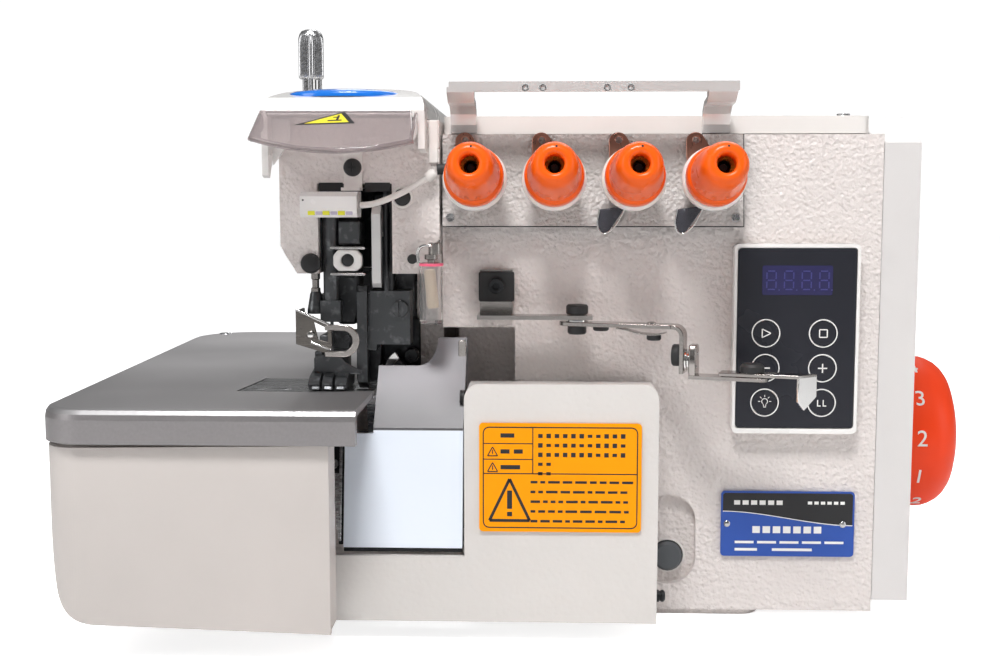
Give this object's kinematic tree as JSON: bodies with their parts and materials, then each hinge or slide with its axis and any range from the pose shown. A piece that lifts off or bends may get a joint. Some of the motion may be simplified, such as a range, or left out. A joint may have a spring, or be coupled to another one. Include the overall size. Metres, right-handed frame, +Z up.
{
  "type": "serger overlock machine",
  "caption": "Overlock sewing head with cast body, swing-out cloth plate, tilting front cover, thread tension knobs, key panel, seam guide and side handwheel.",
  "frame": {"origin": "centre of the base's underside, under the main casting and bed", "axes": "+X to the operator's right along the main shaft, +Y away from the operator, +Z up"},
  "size_m": [0.386, 0.2765, 0.2392],
  "materials": {
    "body_paint": "warm off-white hammered paint",
    "cover_white": "smooth off-white moulding, light grain",
    "badge_blue": "glossy blue oval",
    "guard_clear": "lightly smoked clear plastic",
    "dark_steel": "blackened steel, worn on edges",
    "label_orange": "printed orange film with a hand-injury pictogram",
    "plate_metal": "satin grey bed with a brighter textured skirt",
    "bright_steel": "ground steel",
    "bright_chrome": "polished chrome",
    "chute_steel": "pale grey satin sheet",
    "wheel_red": "red-orange moulding with white scale marks",
    "panel_white": "white frame",
    "panel_black": "black film with white rings and symbols",
    "plate_blue": "printed black and blue plate",
    "button_grey": "dark grey moulding",
    "lamp_white": "white lamp housing with yellow light points",
    "lead_white": "white insulated lead",
    "cup_clear": "clear cup with a felt wick",
    "seat_white": "translucent white cup",
    "knob_orange": "orange moulding"
  },
  "bodies": {
    "frame": {"main_casting": "body_paint", "oil_pan": "body_paint", "rear_cover": "body_paint", "top_cover": "body_paint", "end_cover": "body_paint", "arm_casting": "body_paint", "head_cover": "cover_white", "head_badge": "badge_blue", "throat_plate": "bright_steel", "chip_chute": "chute_steel", "lower_knife": "bright_steel", "shaft_bearing": "bright_steel", "motor_stator": "dark_steel", "tension_plate": "body_paint", "thread_guide_bar": "bright_chrome", "panel_housing": "panel_white", "panel_face": "panel_black", "nameplate": "plate_blue", "led_bracket": "bright_steel", "led_housing": "lamp_white", "led_lead": "lead_white", "silicone_cup": "cup_clear", "guide_mount": "bright_chrome", "tension_seat_1": "seat_white", "tension_seat_2": "seat_white", "tension_seat_3": "seat_white", "tension_seat_4": "seat_white"},
    "spindle": {"main_shaft": "bright_steel", "handwheel": "wheel_red"},
    "needle_drive": {"needle_bar": "bright_steel"},
    "take_up": {"take_up_lever": "bright_steel"},
    "lower_looper_drive": {"lower_looper": "bright_steel"},
    "upper_looper_drive": {"upper_looper": "bright_steel"},
    "knife_drive": {"upper_knife": "dark_steel"},
    "feed": {"feed_dog": "bright_steel"},
    "lift_lever": {"foot_lift_lever": "dark_steel"},
    "presser": {"presser_arm": "dark_steel"},
    "foot": {"presser_foot": "dark_steel"},
    "pressure_screw": {"pressure_knob": "bright_steel"},
    "guard": {"eye_guard": "guard_clear"},
    "cloth_bed": {"cloth_plate": "plate_metal", "side_cover": "cover_white"},
    "cover_slide": {"cover_hinge_shaft": "dark_steel"},
    "front_cover": {"looper_cover": "cover_white", "warning_label": "label_orange"},
    "stitch_selector": {"stitch_button": "button_grey"},
    "guide_arm_body": {"guide_arm": "bright_chrome"},
    "guide_swing_body": {"guide_swing_arm": "bright_chrome"},
    "guide_slider_body": {"guide_slider": "bright_chrome"},
    "tension_1": {"tension_knob_1": "knob_orange"},
    "tension_2": {"tension_knob_2": "knob_orange"},
    "tension_3": {"tension_knob_3": "knob_orange"},
    "tension_4": {"tension_knob_4": "knob_orange"},
    "key_1": {"panel_key_1": "panel_black"},
    "key_2": {"panel_key_2": "panel_black"},
    "key_3": {"panel_key_3": "panel_black"},
    "key_4": {"panel_key_4": "panel_black"},
    "key_5": {"panel_key_5": "panel_black"},
    "key_6": {"panel_key_6": "panel_black"}
  },
  "joints": [
    {"name": "main_shaft_spin", "type": "hinge", "parent": "frame", "child": "spindle", "pos_m": [0.15, 0.012, 0.058], "axis": [1, 0, 0], "continuous": true},
    {"name": "needle_stroke", "type": "slide", "parent": "frame", "child": "needle_drive", "axis": [0, 0, 1], "range_m": [-0.018, 0.006]},
    {"name": "take_up_swing", "type": "hinge", "parent": "frame", "child": "take_up", "pos_m": [-0.079, -0.066, 0.15], "axis": [-1, 0, 0], "range_deg": [-6.2, 2.2]},
    {"name": "lower_looper_swing", "type": "hinge", "parent": "frame", "child": "lower_looper_drive", "pos_m": [-0.096, -0.088, 0.038], "axis": [0, 1, 0], "range_deg": [-10.2, 3.5]},
    {"name": "upper_looper_swing", "type": "hinge", "parent": "frame", "child": "upper_looper_drive", "pos_m": [-0.0715, -0.097, 0.04], "axis": [0, 1, 0], "range_deg": [-8.2, 3]},
    {"name": "knife_stroke", "type": "slide", "parent": "frame", "child": "knife_drive", "axis": [0, 0, 1], "range_m": [-0.0046, 0.0016]},
    {"name": "feed_stroke", "type": "slide", "parent": "frame", "child": "feed", "axis": [0, 1, 0], "range_m": [-0.0016, 0.0006]},
    {"name": "foot_lift_lever_turn", "type": "hinge", "parent": "frame", "child": "lift_lever", "pos_m": [-0.04, 0.099, 0.165], "axis": [0, 1, 0], "range_deg": [0, 22]},
    {"name": "presser_lift", "type": "hinge", "parent": "frame", "child": "presser", "pos_m": [-0.072, -0.036, 0.127], "axis": [-1, 0, 0], "range_deg": [0, 5.6]},
    {"name": "foot_tilt", "type": "hinge", "parent": "presser", "child": "foot", "pos_m": [-0.098, -0.093, 0.106], "axis": [-1, 0, 0], "range_deg": [0, 10]},
    {"name": "pressure_screw_turn", "type": "hinge", "parent": "frame", "child": "pressure_screw", "pos_m": [-0.1112, -0.065, 0.22], "axis": [0, 0, 1], "range_deg": [-720, 720]},
    {"name": "eye_guard_lift", "type": "hinge", "parent": "frame", "child": "guard", "pos_m": [-0.092, -0.1186, 0.2012], "axis": [-1, 0, 0], "range_deg": [0, 85]},
    {"name": "cloth_bed_swing", "type": "hinge", "parent": "frame", "child": "cloth_bed", "pos_m": [-0.112, 0.084, 0.09], "axis": [0, 0, -1], "range_deg": [0, 75]},
    {"name": "front_cover_slide", "type": "slide", "parent": "frame", "child": "cover_slide", "axis": [1, 0, 0], "range_m": [0, 0.006]},
    {"name": "front_cover_tilt", "type": "hinge", "parent": "cover_slide", "child": "front_cover", "pos_m": [-0.005, -0.121, 0.016], "axis": [1, 0, 0], "range_deg": [0, 68]},
    {"name": "stitch_button_press", "type": "slide", "parent": "frame", "child": "stitch_selector", "axis": [0, 1, 0], "range_m": [0, 0.006], "stiffness_N_per_m": 400},
    {"name": "tension_knob_1_turn", "type": "hinge", "parent": "frame", "child": "tension_1", "pos_m": [-0.0397, -0.1016, 0.174], "axis": [0, -0.9903, 0.1392], "range_deg": [-540, 540]},
    {"name": "tension_knob_2_turn", "type": "hinge", "parent": "frame", "child": "tension_2", "pos_m": [-0.0097, -0.1016, 0.174], "axis": [0, -0.9903, 0.1392], "range_deg": [-540, 540]},
    {"name": "tension_knob_3_turn", "type": "hinge", "parent": "frame", "child": "tension_3", "pos_m": [0.0203, -0.1016, 0.174], "axis": [0, -0.9903, 0.1392], "range_deg": [-540, 540]},
    {"name": "tension_knob_4_turn", "type": "hinge", "parent": "frame", "child": "tension_4", "pos_m": [0.0503, -0.1016, 0.174], "axis": [0, -0.9903, 0.1392], "range_deg": [-540, 540]},
    {"name": "panel_key_1_press", "type": "slide", "parent": "frame", "child": "key_1", "axis": [0, 1, 0], "range_m": [0, 0.0005], "stiffness_N_per_m": 900},
    {"name": "panel_key_2_press", "type": "slide", "parent": "frame", "child": "key_2", "axis": [0, 1, 0], "range_m": [0, 0.0005], "stiffness_N_per_m": 900},
    {"name": "panel_key_3_press", "type": "slide", "parent": "frame", "child": "key_3", "axis": [0, 1, 0], "range_m": [0, 0.0005], "stiffness_N_per_m": 900},
    {"name": "panel_key_4_press", "type": "slide", "parent": "frame", "child": "key_4", "axis": [0, 1, 0], "range_m": [0, 0.0005], "stiffness_N_per_m": 900},
    {"name": "panel_key_5_press", "type": "slide", "parent": "frame", "child": "key_5", "axis": [0, 1, 0], "range_m": [0, 0.0005], "stiffness_N_per_m": 900},
    {"name": "panel_key_6_press", "type": "slide", "parent": "frame", "child": "key_6", "axis": [0, 1, 0], "range_m": [0, 0.0005], "stiffness_N_per_m": 900},
    {"name": "guide_arm_swing", "type": "hinge", "parent": "frame", "child": "guide_arm_body", "pos_m": [-0.0005, -0.108, 0.121], "axis": [0, 0, 1], "range_deg": [-70, 4]},
    {"name": "guide_tab_flip", "type": "hinge", "parent": "guide_arm_body", "child": "guide_swing_body", "pos_m": [0.04073, -0.12021, 0.108], "axis": [0.9588, -0.284, 0], "range_deg": [-90, 0]},
    {"name": "guide_slide", "type": "slide", "parent": "guide_swing_body", "child": "guide_slider_body", "axis": [0.9588, -0.284, 0], "range_m": [-0.006, 0.008]}
  ],
  "couplings": [
    {"joint": "take_up_swing", "follows": "needle_stroke", "rad_per_m": 5.818},
    {"joint": "lower_looper_swing", "follows": "needle_stroke", "rad_per_m": 9.7},
    {"joint": "upper_looper_swing", "follows": "needle_stroke", "rad_per_m": 7.8},
    {"joint": "knife_stroke", "follows": "needle_stroke", "ratio": 0.25},
    {"joint": "feed_stroke", "follows": "needle_stroke", "ratio": 0.085},
    {"joint": "presser_lift", "follows": "foot_lift_lever_turn", "ratio": 0.25}
  ]
}
